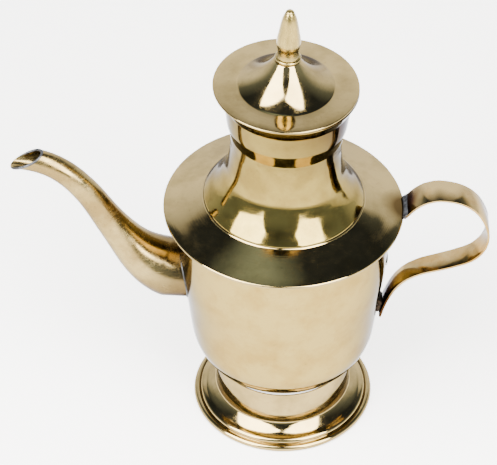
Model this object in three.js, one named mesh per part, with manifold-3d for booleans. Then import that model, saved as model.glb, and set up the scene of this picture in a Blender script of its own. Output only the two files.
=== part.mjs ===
// Dallah coffee pot in spun and soldered brass, with a loose lift-off lid.
// Millimetres, +Z up. The origin is on the pot's own axis, level with the
// surface that the foot stands on; the finished group is then shifted so
// that the origin is the centre of the bottom of its box.
// The spout points along -X and the handle along +X.

import * as THREE from 'three';
import { mergeVertices } from 'three/addons/utils/BufferGeometryUtils.js';
import Module from 'manifold-3d';

const wasm = await Module();
wasm.setup();

// ---------------------------------------------------------------- driving dimensions

const GAP = 0.3;                 // space left between pieces that touch
const FACETS = 36;               // facets round every large spun piece
const WALL = 1.2;                // brass sheet of the spun pieces
const BRIM_WALL = 1;
const THIN = 0.8;                // sheet of the foot's rolled edge and the lid's plug

const FOOT_RADIUS = 50.4;          // outside of the rolled edge
const ROLL_RADIUS = 2;           // the rolled edge's own section
const COLLAR_RADIUS = 37.5;      // the straight part of the foot
const FLARE_TOP = 13.5;          // where the foot's flare becomes the collar
const COLLAR_TOP = 33.1;

const BOWL_BOTTOM = 27.5;
const BOWL_TOP = 146;            // before its rim is trimmed to the brim
const BOWL_RADIUS = 57.4;        // at the straight upper part

const BRIM_RADIUS = 65.3;
const BRIM_HEIGHT = 142.2;       // where the cone turns down into the lip
const BRIM_TILT = 1.3;           // degrees: the hand-set brim is lower on the handle's side
const LIP_DEPTH = 1.6;
const CREASE_RADIUS = 43.6;      // where the neck stands on the brim's cone
const CREASE_HEIGHT = 149.6;
const SHOULDER_HOLE = 38.5;

const NECK_TILT = 1.7;           // degrees: the neck and lid lean towards the handle
const WAIST_RADIUS = 29.75;
const MOUTH_RADIUS = 37.5;
const MOUTH_HEIGHT = 224.4;

const LID_SHIFT = -1.4;          // the loose lid sits a little towards the spout
const LID_RADIUS = 38.7;
const LID_HEIGHT = 226.7;        // top of the flat flange at its edge
const DOME_RADIUS = 26;
const DOME_TOP = 244.4;
const SEAT_RADIUS = 6.9;         // flat on top of the dome, under the finial
const PLUG_RADIUS = 31;
const PLUG_DEPTH = 7;

const TANG_RADIUS = 2;
const TANG_HOLE = 2.5;
const FINIAL_SHIFT = 0.3;        // the finial stands a little off the dome's centre
const FINIAL_FACETS = 20;

const SPOUT_SIDES = 16;
const SPOUT_RINGS = 24;
const SPOUT_WALL = 1.1;
const SPOUT_TIP_RADIUS = 6.2;
const SPOUT_ROOT_RADIUS = 16.8;
const SPOUT_TAPER = 33;          // distance from the root at which half the taper is gone

const STRAP_WIDTH = 17.6;        // at the brim; it narrows to the end on the bowl
const STRAP_END_WIDTH = 11.8;
const STRAP_THICKNESS = 1.3;

// ---------------------------------------------------------------- materials

const brass = (colour, roughness) => new THREE.MeshStandardMaterial({
  color: colour, roughness, metalness: 1,
});
const polishedBrass = () => brass(0xd2bd94, 0.14);
const duskyBrass = () => brass(0xb7a078, 0.22);
const castBrass = () => brass(0xbfac81, 0.34);
const strapBrass = () => brass(0xc2a477, 0.26);
const softSolder = () => brass(0x8f9093, 0.42);
const steelWire = () => brass(0x8a8a86, 0.4);

// ---------------------------------------------------------------- outlines and solids

const at = (radius, height) => new THREE.Vector2(radius, height);

/** A smooth outline through a few points, as `count` equal steps. */
const smooth = (points, count) => new THREE.SplineCurve(points).getSpacedPoints(count);

/** Part of a circle in the outline plane; angles in degrees from the outward direction. */
function arc(centre, radius, from, to, count) {
  const points = [];
  for (let i = 0; i <= count; i += 1) {
    const angle = THREE.MathUtils.degToRad(from + (to - from) * i / count);
    points.push(at(centre.x + radius * Math.cos(angle), centre.y + radius * Math.sin(angle)));
  }
  return points;
}

/** The same outline pushed `distance` to its left-hand side. */
function offset(outline, distance) {
  return outline.map((point, i) => {
    const before = outline[Math.max(i - 1, 0)];
    const after = outline[Math.min(i + 1, outline.length - 1)];
    const into = point.clone().sub(before).normalize();
    const out = after.clone().sub(point).normalize();
    const along = into.add(out).normalize();
    return at(point.x - along.y * distance, point.y + along.x * distance);
  });
}

/** A sheet of even thickness: the outline, its offset copy and the two edges. */
function sheet(outline, thickness) {
  const inside = offset(outline, thickness).reverse();
  const startsOnAxis = outline[0].x < 1e-6;
  return startsOnAxis ? [...outline, ...inside] : [...outline, ...inside, outline[0]];
}

/** Turns an outline into a solid of revolution about +Z. The outline runs anticlockwise. */
function spun(outline, facets = FACETS) {
  const onAxis = outline[0].x < 1e-6;
  const area = THREE.ShapeUtils.area(onAxis ? outline : outline.slice(0, -1));
  const points = area > 0 ? outline : [...outline].reverse();
  points.forEach((point) => { if (Math.abs(point.x) < 1e-6) point.x = 0; });
  return new THREE.LatheGeometry(points, facets).rotateX(Math.PI / 2);
}

/** A ring whose section is a polygon of the given corners. */
const ring = (corners, facets = FACETS) => spun([...corners, corners[0]], facets);

function solidOf(geometry) {
  const plain = geometry.clone();
  plain.deleteAttribute('normal');
  plain.deleteAttribute('uv');
  const merged = mergeVertices(plain, 1e-4);
  const corners = merged.index.array;
  const triangles = [];
  for (let i = 0; i < corners.length; i += 3) {
    const [a, b, c] = corners.slice(i, i + 3);
    if (a !== b && b !== c && c !== a) triangles.push(a, b, c);
  }
  return new wasm.Manifold(new wasm.Mesh({
    numProp: 3,
    vertProperties: merged.attributes.position.array,
    triVerts: new Uint32Array(triangles),
  }));
}

function geometryOf(solid) {
  const mesh = solid.getMesh();
  const geometry = new THREE.BufferGeometry();
  geometry.setAttribute('position', new THREE.BufferAttribute(mesh.vertProperties, 3));
  geometry.setIndex(new THREE.BufferAttribute(mesh.triVerts, 1));
  return geometry;
}

/**
 * Bends a straight solid so that it follows a line in the XZ plane. The solid stands along +Z
 * from 0 to 1, its X goes across the line, and its Y is multiplied by breadth(fraction).
 */
function bent(geometry, line, breadth = () => 1) {
  const position = geometry.attributes.position;
  const point = new THREE.Vector3();
  for (let i = 0; i < position.count; i += 1) {
    point.fromBufferAttribute(position, i);
    const fraction = THREE.MathUtils.clamp(point.z, 0, 1);
    const centre = line.getPointAt(fraction);
    const along = line.getTangentAt(fraction);
    const x = centre.x + along.z * point.x;
    const z = centre.z - along.x * point.x;
    position.setXYZ(i, x, point.y * breadth(fraction), z);
  }
  return geometry;
}

/** A curve in the XZ plane through [x, z] pairs. */
const lineThrough = (pairs) => new THREE.CatmullRomCurve3(
  pairs.map(([x, z]) => new THREE.Vector3(x, 0, z)), false, 'centripetal',
);

const group = new THREE.Group();

/** A frame tilted about Y at a height on the pot's axis, then moved `shift` along its own X. */
function tilted(parent, degrees, height, shift = 0) {
  const frame = new THREE.Group();
  frame.rotation.y = THREE.MathUtils.degToRad(degrees);
  const pivot = new THREE.Vector3(0, 0, height);
  frame.position.copy(pivot).sub(pivot.clone().applyEuler(frame.rotation));
  frame.translateX(shift);
  parent.add(frame);
  frame.updateMatrix();
  return frame;
}

const shoulderFrame = tilted(group, BRIM_TILT, BRIM_HEIGHT);
const neckFrame = tilted(group, NECK_TILT, CREASE_HEIGHT);
const lidFrame = tilted(neckFrame, 0, 0, LID_SHIFT);
const finialFrame = tilted(lidFrame, 0, 0, FINIAL_SHIFT);

function place(name, geometry, material, frame = group) {
  const mesh = new THREE.Mesh(geometry, material);
  mesh.name = name;
  frame.add(mesh);
}

// ---------------------------------------------------------------- foot

const rollCentre = at(FOOT_RADIUS - ROLL_RADIUS, ROLL_RADIUS);

/**
 * The foot as one spun sheet: collar, flare, and the edge rolled round a wire. The roll is
 * worn flat underneath, between its inner lip and its outer part.
 */
function footPedestal() {
  const innerLip = arc(rollCentre, ROLL_RADIUS, -150, -105, 1);
  const outerRoll = arc(rollCentre, ROLL_RADIUS, -75, 135, 7);
  const flare = smooth([
    outerRoll.at(-1),
    at(46, 5.55),
    at(43, 6.75),
    at(40.6, 8.2),
    at(38.9, 9.5),
    at(38, 10.4),
    at(37.6, 11.3),
    at(COLLAR_RADIUS, FLARE_TOP),
  ], 10).slice(1);
  const collar = at(COLLAR_RADIUS + 0.6, COLLAR_TOP);
  return spun(sheet([...innerLip, ...outerRoll, ...flare, collar], THIN));
}

const wireRadius = ROLL_RADIUS - THIN - GAP;

const footWire = () => spun(arc(rollCentre, wireRadius, 0, 360, 6));

// ---------------------------------------------------------------- bowl

const coneSlope = (CREASE_HEIGHT - BRIM_HEIGHT) / (BRIM_RADIUS - 1 - CREASE_RADIUS);
const coneHeight = (radius) => BRIM_HEIGHT + coneSlope * (BRIM_RADIUS - 1 - radius);

const bowlOutline = [
  at(0, BOWL_BOTTOM),
  at(22, BOWL_BOTTOM),
  ...smooth([
    at(27, 28.1),
    at(33.4, 30.8),
    at(39.4, 36.4),
    at(45.8, 43.4),
    at(50, 52.5),
    at(51.9, 65),
    at(53.6, 80),
    at(56.2, 100),
    at(57.2, 118),
    at(BOWL_RADIUS, BOWL_TOP),
  ], 16),
];

/** The bowl's outside as a full solid, swollen by a margin, to trim what meets it. */
function bowlCutter(margin) {
  const outside = offset(bowlOutline, -margin);
  outside[0].x = 0;
  return solidOf(spun([...outside, at(0, BOWL_TOP + margin)]));
}

// ---------------------------------------------------------------- spout

const spoutLine = lineThrough([
  [-40, 91.5],
  [-52, 92.6],
  [-66.6, 97.7],
  [-80, 108.8],
  [-93, 127.8],
  [-106, 150.3],
  [-118.5, 165],
  [-132.4, 172.8],
  [-152, 176.4],
]);

const spoutLength = spoutLine.getLength();
const rootOffset = 16;           // centre-line length that lies inside the bowl

/** Outer radius of the spout at a distance along it, measured from the bowl's wall. */
function spoutRadius(distance) {
  const taper = (Math.max(distance, 0) / SPOUT_TAPER) ** 2.6;
  return SPOUT_TIP_RADIUS + (SPOUT_ROOT_RADIUS - SPOUT_TIP_RADIUS) / (1 + taper);
}

/** A tapered solid that follows the spout, thinner than its outside by `less`. */
function spoutCore(less, overrun = 0) {
  const outline = [at(0, -overrun)];
  for (let i = 0; i <= SPOUT_RINGS; i += 1) {
    const fraction = i / SPOUT_RINGS;
    outline.push(at(spoutRadius(fraction * spoutLength - rootOffset) - less, fraction));
  }
  outline.push(at(0, 1 + overrun));
  return bent(spun(outline, SPOUT_SIDES), spoutLine, (fraction) => 1 - 0.16 * fraction ** 4);
}

const mouthTop = new THREE.Vector3(-127.2, 0, 179.7);
const mouthLip = new THREE.Vector3(-149.4, 0, 167.6);

/** A large block that lies beyond the plane through the two ends of the spout's mouth. */
function beyondMouth(shift) {
  const size = 60;
  const block = new THREE.BoxGeometry(size, size, size);
  const along = mouthTop.clone().sub(mouthLip).normalize();
  const out = new THREE.Vector3(-along.z, 0, along.x);
  const middle = mouthTop.clone().add(mouthLip).multiplyScalar(0.5);
  middle.addScaledVector(out, size / 2 + shift);
  block.rotateY(-Math.atan2(along.z, along.x));
  block.translate(middle.x, middle.y, middle.z);
  return solidOf(block);
}

const spoutOutside = solidOf(spoutCore(0));
const spoutInside = solidOf(spoutCore(SPOUT_WALL));

const spoutTube = () => geometryOf(
  spoutOutside.subtract(spoutInside).subtract(bowlCutter(GAP)).subtract(beyondMouth(0)),
);

/** Everything above the brim's underside, as a cutter in the brim's tilted frame. */
function aboveBrim() {
  const under = (radius) => coneHeight(radius) - BRIM_WALL / Math.cos(Math.atan(coneSlope)) - GAP;
  const cutter = spun([at(0, under(0)), at(70, under(70)), at(70, 200), at(0, 200)]);
  return solidOf(cutter.applyMatrix4(shoulderFrame.matrix));
}

/** The bowl, its rim trimmed to the brim, with the hole that opens into the spout. */
function bowl() {
  const hole = solidOf(spoutCore(SPOUT_WALL + 1.4));
  const shell = solidOf(spun(sheet(bowlOutline, WALL)));
  return geometryOf(shell.subtract(hole).subtract(aboveBrim()));
}

/** The solder fillet round the spout's root, between two skins of the bowl's shape. */
function spoutRootSolder() {
  const fat = solidOf(spoutCore(-1));
  const fit = solidOf(spoutCore(-GAP));
  const reach = bowlCutter(GAP + 1.5);
  return geometryOf(fat.subtract(fit).intersect(reach).subtract(bowlCutter(GAP)));
}

// ---------------------------------------------------------------- shoulder, neck and seams

/** The wide brim: a shallow cone with its edge turned down into a small lip. */
function shoulderBrim() {
  const lipBottom = BRIM_HEIGHT - LIP_DEPTH;
  return spun(sheet([
    at(BRIM_RADIUS - 0.2, lipBottom),
    at(BRIM_RADIUS, BRIM_HEIGHT - 1),
    at(BRIM_RADIUS - 0.35, BRIM_HEIGHT - 0.3),
    at(BRIM_RADIUS - 1, BRIM_HEIGHT),
    at(55, coneHeight(55)),
    at(SHOULDER_HOLE, coneHeight(SHOULDER_HOLE)),
  ], BRIM_WALL));
}

const neckOutline = [
  at(CREASE_RADIUS, CREASE_HEIGHT + 1.5),
  ...smooth([
    at(CREASE_RADIUS - 0.3, CREASE_HEIGHT + 2.4),
    at(40.9, 154.5),
    at(37.6, 158.3),
    at(34.6, 163.4),
    at(31.9, 169.5),
    at(30.4, 178),
    at(WAIST_RADIUS, 186),
    at(29.85, 191),
    at(30.25, 195.4),
  ], 12),
  ...smooth([
    at(30.6, 196.8),
    at(31.4, 199.9),
    at(32.1, 202.7),
    at(32.55, 205.5),
    at(33, 209.5),
    at(33.5, 214),
    at(33.9, 217.2),
  ], 6),
  ...smooth([at(34.6, 218.4), at(36.1, 221.4), at(MOUTH_RADIUS, MOUTH_HEIGHT)], 3),
];

const neck = () => spun(sheet(neckOutline, WALL));

/** Seam between bowl and brim: a fillet in the corner under the brim. */
function bowlSeam() {
  const inner = BOWL_RADIUS + GAP;
  const under = coneHeight(inner + 1.7) - BRIM_WALL - 2 * GAP;
  return ring([at(inner, under - 1.5), at(inner + 1.7, under - 0.75), at(inner, under)]);
}

/** Seam between brim and neck: a thin bead round the foot of the neck. */
function neckSeam() {
  const inner = CREASE_RADIUS + GAP;
  const base = coneHeight(inner) + GAP;
  return ring([at(inner, base), at(inner + 1.1, base - 1.1 * coneSlope), at(inner, base + 0.8)]);
}

/** Seam between foot and bowl: a fillet inside the collar, under the bowl. */
function footSeam() {
  const outer = COLLAR_RADIUS - THIN - GAP;
  return ring([at(outer - 1.7, 30.4), at(outer, 29.6), at(outer, 31.9)]);
}

// ---------------------------------------------------------------- lid

const flangeRise = 0.7;          // the flange is dished up towards the dome

/** The lid as one spun sheet: flat flange, and a hollow-sided dome up to the finial's seat. */
function lidCover() {
  const dome = new THREE.QuadraticBezierCurve(
    at(DOME_RADIUS, LID_HEIGHT + flangeRise), at(13.5, 233.8), at(SEAT_RADIUS, DOME_TOP),
  ).getPoints(7);
  return spun(sheet([
    at(LID_RADIUS, LID_HEIGHT - 0.9),
    at(LID_RADIUS - 0.3, LID_HEIGHT),
    ...dome,
    at(TANG_HOLE, DOME_TOP + 0.1),
  ], 0.95));
}

/** The collar under the lid that drops into the neck and keeps the lid central. */
function lidPlug() {
  const top = LID_HEIGHT + 0.2 - 1.2 - GAP;
  return spun(sheet([
    at(PLUG_RADIUS - 0.6, top - PLUG_DEPTH),
    at(PLUG_RADIUS, top - PLUG_DEPTH + 1.2),
    at(PLUG_RADIUS, top - 2),
    at(PLUG_RADIUS, top),
  ], THIN));
}

/** Solder fillet in the corner between the plug and the underside of the lid. */
function plugSeam() {
  const inner = PLUG_RADIUS + GAP;
  const top = LID_HEIGHT - 1.25 - GAP;
  return ring([at(inner, top - 1.6), at(inner + 1.5, top), at(inner, top)]);
}

// ---------------------------------------------------------------- finial

const ringBottom = DOME_TOP + 0.1 + GAP;
const finialBottom = ringBottom + 1.7 + GAP;

/** The turned ring that the finial stands on. */
const finialRing = () => ring([
  at(TANG_HOLE, ringBottom),
  at(6.5, ringBottom),
  at(6.9, ringBottom + 0.85),
  at(6.5, ringBottom + 1.7),
  at(TANG_HOLE, ringBottom + 1.7),
], FINIAL_FACETS);

/** The turned finial in one piece with the tang that runs down through the dome. */
function finial() {
  const tangEnd = 237.6;
  return spun([
    at(0, tangEnd),
    at(TANG_RADIUS, tangEnd),
    at(TANG_RADIUS, finialBottom),
    at(5.9, finialBottom),
    at(5.6, finialBottom + 1.4),
    at(5.75, 252.4),
    at(6.1, 253.1),
    ...smooth([
      at(6.3, 254.1),
      at(6.45, 256.1),
      at(6.15, 259),
      at(5.3, 263.8),
      at(4.6, 267.8),
      at(3.75, 271.6),
      at(2.4, 275.1),
    ], 8),
    at(1.3, 276.2),
    at(0, 276.5),
  ], FINIAL_FACETS);
}

const washerTop = DOME_TOP - 0.95 - GAP;

/** Inside the lid: the washer that spreads the nut's pull. */
const finialWasher = () => ring([
  at(TANG_HOLE, washerTop - 1),
  at(5, washerTop - 1),
  at(5, washerTop),
  at(TANG_HOLE, washerTop),
], FINIAL_FACETS);

/** Inside the lid: the six-sided nut on the tang. */
function finialNut() {
  const top = washerTop - 1 - GAP;
  const nut = new THREE.CylinderGeometry(4.2, 4.2, 2.6, 6).rotateX(Math.PI / 2);
  const bore = new THREE.CylinderGeometry(TANG_HOLE, TANG_HOLE, 6, FINIAL_FACETS).rotateX(Math.PI / 2);
  return geometryOf(solidOf(nut).subtract(solidOf(bore))).translate(0, 0, top - 1.3);
}

// ---------------------------------------------------------------- handle

const handleLine = lineThrough([
  [67.2, 139.7],
  [68.7, 144.2],
  [71.8, 148.4],
  [77, 151.4],
  [85.5, 152.5],
  [96.5, 149.8],
  [104.8, 143.2],
  [110.1, 133],
  [111.5, 123.5],
  [109, 114.4],
  [103, 107.5],
  [94, 103.2],
  [84.5, 99.9],
  [75.5, 96.8],
  [67.8, 92.1],
  [62.2, 85.6],
  [58.3, 77.8],
  [55.7, 70.3],
  [54, 63.4],
]);

/** Half the strap's width at a fraction of its length. */
function halfStrap(fraction) {
  return THREE.MathUtils.lerp(STRAP_WIDTH, STRAP_END_WIDTH, fraction) / 2;
}

/** A flat strap bent to the handle's line, cut clear of the bowl and the brim. */
function handleStrap() {
  const strap = new THREE.BoxGeometry(STRAP_THICKNESS, 2, 1, 1, 1, 52).translate(0, 0, 0.5);
  const shape = solidOf(bent(strap, handleLine, halfStrap));
  return geometryOf(shape.subtract(bowlCutter(GAP)).subtract(brimCutter()));
}

/** The brim's outside as a short drum, swollen by the gap, in its tilted frame. */
function brimCutter() {
  const radius = BRIM_RADIUS + GAP;
  const drum = spun([at(0, 130), at(radius, 130), at(radius, 150), at(0, 150)]);
  return solidOf(drum.applyMatrix4(shoulderFrame.matrix));
}

/** Solder between the strap's upper end and the brim's lip. */
function handleUpperSolder() {
  const back = handleLine.getPoint(0).x - STRAP_THICKNESS / 2 - GAP;
  const block = new THREE.BoxGeometry(4, STRAP_WIDTH - 1, 2);
  block.translate(back - 2, 0, handleLine.getPoint(0).z + 0.3);
  return geometryOf(solidOf(block).subtract(brimCutter()));
}

/** Solder wedge between the strap's lower end and the bowl. */
function handleLowerSolder() {
  const half = STRAP_END_WIDTH / 2 - 0.8;
  const line = handleLine.getPoints(96).filter((point) => point.z < 76 && point.z > 65);
  const outer = line.map((point) => at(point.x - STRAP_THICKNESS / 2 - GAP, point.z));
  const wedge = new THREE.Shape([at(40, outer[0].y), ...outer, at(40, outer.at(-1).y)]);
  const block = new THREE.ExtrudeGeometry(wedge, { depth: 2 * half, bevelEnabled: false });
  block.rotateX(Math.PI / 2);
  block.translate(0, half, 0);
  return geometryOf(solidOf(block).subtract(bowlCutter(GAP)));
}

// ---------------------------------------------------------------- assembly

place('foot_pedestal', footPedestal(), polishedBrass());
place('foot_edge_wire', footWire(), steelWire());
place('foot_seam_solder', footSeam(), softSolder());
place('bowl', bowl(), polishedBrass());
place('bowl_seam_solder', bowlSeam(), softSolder(), shoulderFrame);
place('shoulder_brim', shoulderBrim(), duskyBrass(), shoulderFrame);
place('neck_seam_solder', neckSeam(), softSolder(), shoulderFrame);
place('neck', neck(), polishedBrass(), neckFrame);
place('spout', spoutTube(), polishedBrass());
place('spout_root_solder', spoutRootSolder(), softSolder());
place('handle_strap', handleStrap(), strapBrass());
place('handle_upper_solder', handleUpperSolder(), softSolder());
place('handle_lower_solder', handleLowerSolder(), softSolder());
place('lid_cover', lidCover(), duskyBrass(), lidFrame);
place('lid_plug', lidPlug(), duskyBrass(), lidFrame);
place('lid_plug_solder', plugSeam(), softSolder(), lidFrame);
place('finial_ring', finialRing(), castBrass(), finialFrame);
place('finial', finial(), castBrass(), finialFrame);
place('finial_washer', finialWasher(), duskyBrass(), finialFrame);
place('finial_nut', finialNut(), duskyBrass(), finialFrame);

const box = new THREE.Box3().setFromObject(group);
group.position.x = -(box.min.x + box.max.x) / 2;
group.position.y = -(box.min.y + box.max.y) / 2;
group.position.z = -box.min.z;

export default group;
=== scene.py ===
# %% [markdown]
# # A spun brass coffee pot
# The real pot is made the old way. Its foot, bowl, brim, neck and lid are discs of thin brass
# sheet, each pushed over a turning wooden form. The spout is sheet rolled into a tube and bent,
# the handle is flat strip, and soft solder holds it all together. Only the finial is cast.
# Here each of those pieces becomes an object of its own, made the way its real maker
# would think of it: an outline that is spun round an axis, or a straight bar that is bent.
#
# The imported model comes first. It gives the pot's axis and the parts that the new pieces
# replace.

import math

import bmesh
import bpy
from mathutils import Matrix, Vector
from mathutils.bvhtree import BVHTree
from mathutils.geometry import interpolate_bezier


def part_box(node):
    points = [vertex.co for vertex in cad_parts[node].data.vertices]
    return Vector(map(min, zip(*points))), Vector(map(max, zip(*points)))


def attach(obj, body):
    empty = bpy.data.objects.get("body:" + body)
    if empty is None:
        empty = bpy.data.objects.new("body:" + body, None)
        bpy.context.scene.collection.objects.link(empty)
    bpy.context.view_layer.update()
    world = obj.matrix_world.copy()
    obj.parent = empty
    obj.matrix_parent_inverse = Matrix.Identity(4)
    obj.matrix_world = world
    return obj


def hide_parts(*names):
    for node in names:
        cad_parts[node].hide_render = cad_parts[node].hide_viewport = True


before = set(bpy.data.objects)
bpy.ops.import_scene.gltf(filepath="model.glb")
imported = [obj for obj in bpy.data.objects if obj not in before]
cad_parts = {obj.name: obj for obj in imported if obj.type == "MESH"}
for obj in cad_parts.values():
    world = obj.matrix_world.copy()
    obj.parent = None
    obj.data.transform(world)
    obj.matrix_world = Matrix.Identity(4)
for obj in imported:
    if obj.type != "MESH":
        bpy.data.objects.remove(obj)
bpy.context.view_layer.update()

# %% [markdown]
# ## Where the pot stands
# Every outline below is in millimetres from the pot's own axis, because that is how a spun
# piece is measured on a lathe. A matrix then carries it into the model's metres. The foot and
# the bowl are true to that axis. The pieces above them lean or sit a little off, as hand work
# does: the brim leans 1.3 degrees, the neck 1.7, and the lid lies off the centre of the neck's
# mouth. Each of those is a matrix too. The lid's is made from the neck's, and the finial's from
# the lid's.

# %% Frames for the foot, the brim, the neck, the lid and the finial
foot_low, foot_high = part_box("foot_pedestal")
AXIS_X = (foot_low.x + foot_high.x) / 2
ROLL_RADIUS = 2.0
ROLL_WORN = ROLL_RADIUS * (1 - math.cos(math.radians(15)))     # how much of the roll is worn flat

BRIM_HEIGHT = 142.2
CREASE_HEIGHT = 149.6
BRIM_LEAN = 1.3
NECK_LEAN = 1.7
LID_SHIFT = -1.4
FINIAL_SHIFT = 0.3


def tilted(parent, degrees, height, shift=0.0):
    """A frame turned about Y at a height on the parent's axis, then moved along its own X."""
    pivot = Matrix.Translation((0, 0, height))
    turn = Matrix.Rotation(math.radians(degrees), 4, "Y")
    return parent @ pivot @ turn @ pivot.inverted() @ Matrix.Translation((shift, 0, 0))


pot_frame = Matrix.Translation((AXIS_X, 0, -ROLL_WORN / 1000)) @ Matrix.Scale(0.001, 4)
brim_frame = tilted(pot_frame, BRIM_LEAN, BRIM_HEIGHT)
neck_frame = tilted(pot_frame, NECK_LEAN, CREASE_HEIGHT)
lid_frame = tilted(neck_frame, 0, 0, LID_SHIFT)
finial_frame = tilted(lid_frame, 0, 0, FINIAL_SHIFT)
print("the axis is at x =", round(AXIS_X * 1000, 2), "mm")

# %% [markdown]
# ## The camera
# A long lens from well back and above, as for a catalogue. It looks down at 42.6 degrees, so
# the lid's flange and the brim show as wide ellipses. It comes before the pieces, because
# every other choice is judged through it.

# %% Make the camera
LENS_MM = 228.9
CAMERA_BACK = 1.27099
CAMERA_HEIGHT = 1.29114
PITCH, YAW, ROLL = (math.radians(angle) for angle in (42.6235, -0.8617, 0.2174))

camera_data = bpy.data.cameras.new("camera")
camera_data.lens = LENS_MM
camera_data.sensor_width = 36
camera_data.clip_end = 60
camera = bpy.data.objects.new("camera", camera_data)
aim = Matrix.Rotation(-YAW, 4, "Z") @ Matrix.Rotation(math.pi / 2 - PITCH, 4, "X")
place = Matrix.Translation((AXIS_X, -CAMERA_BACK, CAMERA_HEIGHT))
camera.matrix_world = place @ aim @ Matrix.Rotation(-ROLL, 4, "Z")
bpy.context.scene.collection.objects.link(camera)
bpy.context.scene.camera = camera
print("the camera is", round(math.hypot(CAMERA_BACK, CAMERA_HEIGHT), 2), "m away")

# %% [markdown]
# ## Node materials
# A material is a small tree of nodes. This one helper adds a node, sets its own properties
# and fills its sockets, with a number, or with another node's output, which makes a link.
# Colours are written as the hex values of a colour picker, and the shader needs linear light,
# so one function converts them.

# %% The node helper and the colour helper
def add(tree, kind, inputs=None, **settings):
    """Adds a node of a kind; `inputs` maps a socket to a value or to an output to link."""
    node = tree.nodes.new(kind)
    for name, value in settings.items():
        setattr(node, name, value)
    for socket, value in (inputs or {}).items():
        if isinstance(value, bpy.types.NodeSocket):
            tree.links.new(value, node.inputs[socket])
        else:
            node.inputs[socket].default_value = value
    return node


def linear(hex_colour):
    """An sRGB colour such as 'c9a86a' as linear red, green, blue and alpha."""
    parts = [int(hex_colour[i : i + 2], 16) / 255 for i in (0, 2, 4)]
    return [p / 12.92 if p <= 0.04045 else ((p + 0.055) / 1.055) ** 2.4 for p in parts] + [1]


print("brass in linear light:", [round(c, 3) for c in linear("8f7b45")[:3]])

# %% [markdown]
# ## Coordinates that follow the lathe
# Marks on a spun sheet run round it: the tool's faint lines and the buffing wheel's scratches
# are circles. Object coordinates are turned into distance from the axis, angle and height,
# so a noise that is squeezed along the first and last and stretched along the angle draws
# circles on any spun piece, whether it is a wall or a flat brim.

# %% Object coordinates in millimetres, and the same as angle, radius and height
def object_mm(tree):
    """Object coordinates in millimetres, centred on the pot's axis."""
    source = add(tree, "ShaderNodeTexCoord")
    centre = add(
        tree,
        "ShaderNodeMapping",
        {"Vector": source.outputs["Object"], "Location": (-AXIS_X * 1000, 0, 0), "Scale": (1000,) * 3},
    )
    return centre.outputs["Vector"]


def lathe_coordinates(tree, millimetres):
    """(angle in radians, radius in mm, height in mm) of a point, as one vector."""
    parts = add(tree, "ShaderNodeSeparateXYZ", {"Vector": millimetres})
    angle = add(tree, "ShaderNodeMath", {0: parts.outputs["Y"], 1: parts.outputs["X"]}, operation="ARCTAN2")
    flat = add(tree, "ShaderNodeCombineXYZ", {"X": parts.outputs["X"], "Y": parts.outputs["Y"]})
    radius = add(tree, "ShaderNodeVectorMath", {0: flat.outputs["Vector"]}, operation="LENGTH")
    return add(
        tree,
        "ShaderNodeCombineXYZ",
        {"X": angle.outputs[0], "Y": radius.outputs["Value"], "Z": parts.outputs["Z"]},
    ).outputs["Vector"]


# %% [markdown]
# ## Polished brass
# The same mask lays painted shade on the neck's mouth, under the lid, in the stain's brown.
# Cartridge brass, seven parts copper to three of zinc, spun and then buffed. It is a mirror
# with a pale yellow tint, and almost all that the eye sees in it is the room. What makes it
# look real is small: slow waves left by hand work bend each reflection a little, fine
# wiping scratches soften it, faint circles run round it, and thin brown tarnish gathers in
# cloudy patches. The soldering torch leaves a browner stain round each joint.
#
# Every sheet-brass finish on this pot comes from one function with different numbers, since
# they are one metal at different stages of cleaning. Their base colours are darker than clean
# brass. They were chosen together with the strong light of this room, and in a dimmer room the
# pot would look too dark.

# %% One brass shader for every sheet
SCRATCH_MM = 1.1          # spacing of wiping marks; real ones are finer, and these are coarse to show
WAVE_MM = 26.0            # length of the slow waves of hand spinning
TARNISH_MM = 19.0         # size of the cloudy patches
MOTTLE_MM = 7.0           # size of the spots where the polish is dull
SPECK_MM = 2.5            # size of the small brown specks
WAVE_DEPTH = 0.00022      # depths are in metres
LINE_DEPTH = 0.0000035
SCRATCH_DEPTH = 0.000002
EDGE_TINT = "bcbfc8"      # darkens what is mirrored at a grazing angle, so that outlines stay clear


def noise(tree, vector, scale, detail=2.0, roughness=0.5):
    """A noise factor; `scale` is how many cells fit in one unit of the vector."""
    node = add(
        tree,
        "ShaderNodeTexNoise",
        {"Vector": vector, "Scale": scale, "Detail": detail, "Roughness": roughness},
    )
    return node.outputs["Fac"]


def stretched(tree, vector, scale):
    """The vector with its three parts scaled apart, so that a noise on it runs in lines."""
    return add(tree, "ShaderNodeMapping", {"Vector": vector, "Scale": scale}).outputs["Vector"]


def between(tree, factor, low, high, out_low, out_high):
    """Maps low..high to out_low..out_high, and stays there outside it."""
    node = add(
        tree,
        "ShaderNodeMapRange",
        {"Value": factor, "From Min": low, "From Max": high, "To Min": out_low, "To Max": out_high},
    )
    return node.outputs["Result"]


def mixed(tree, factor, first, second):
    """Mixes two colours by a factor."""
    node = add(tree, "ShaderNodeMix", {0: factor, 6: first, 7: second}, data_type="RGBA")
    return node.outputs[2]


def stain_and_shade_mask(tree, millimetres, joints):
    """1 at each listed spot, falling to 0 at its own distance; spots are (x, y, z, reach). Most are torch
    stains at joints, and the neck's is painted shade under the lid.
    """
    total = None
    for x, y, z, reach in joints:
        away = add(tree, "ShaderNodeVectorMath", {0: millimetres, 1: (x, y, z)}, operation="DISTANCE")
        near = between(tree, away.outputs["Value"], reach * 0.45, reach, 1.0, 0.0)
        if total is None:
            total = near
        else:
            total = add(tree, "ShaderNodeMath", {0: total, 1: near}, operation="MAXIMUM").outputs[0]
    return total


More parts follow.
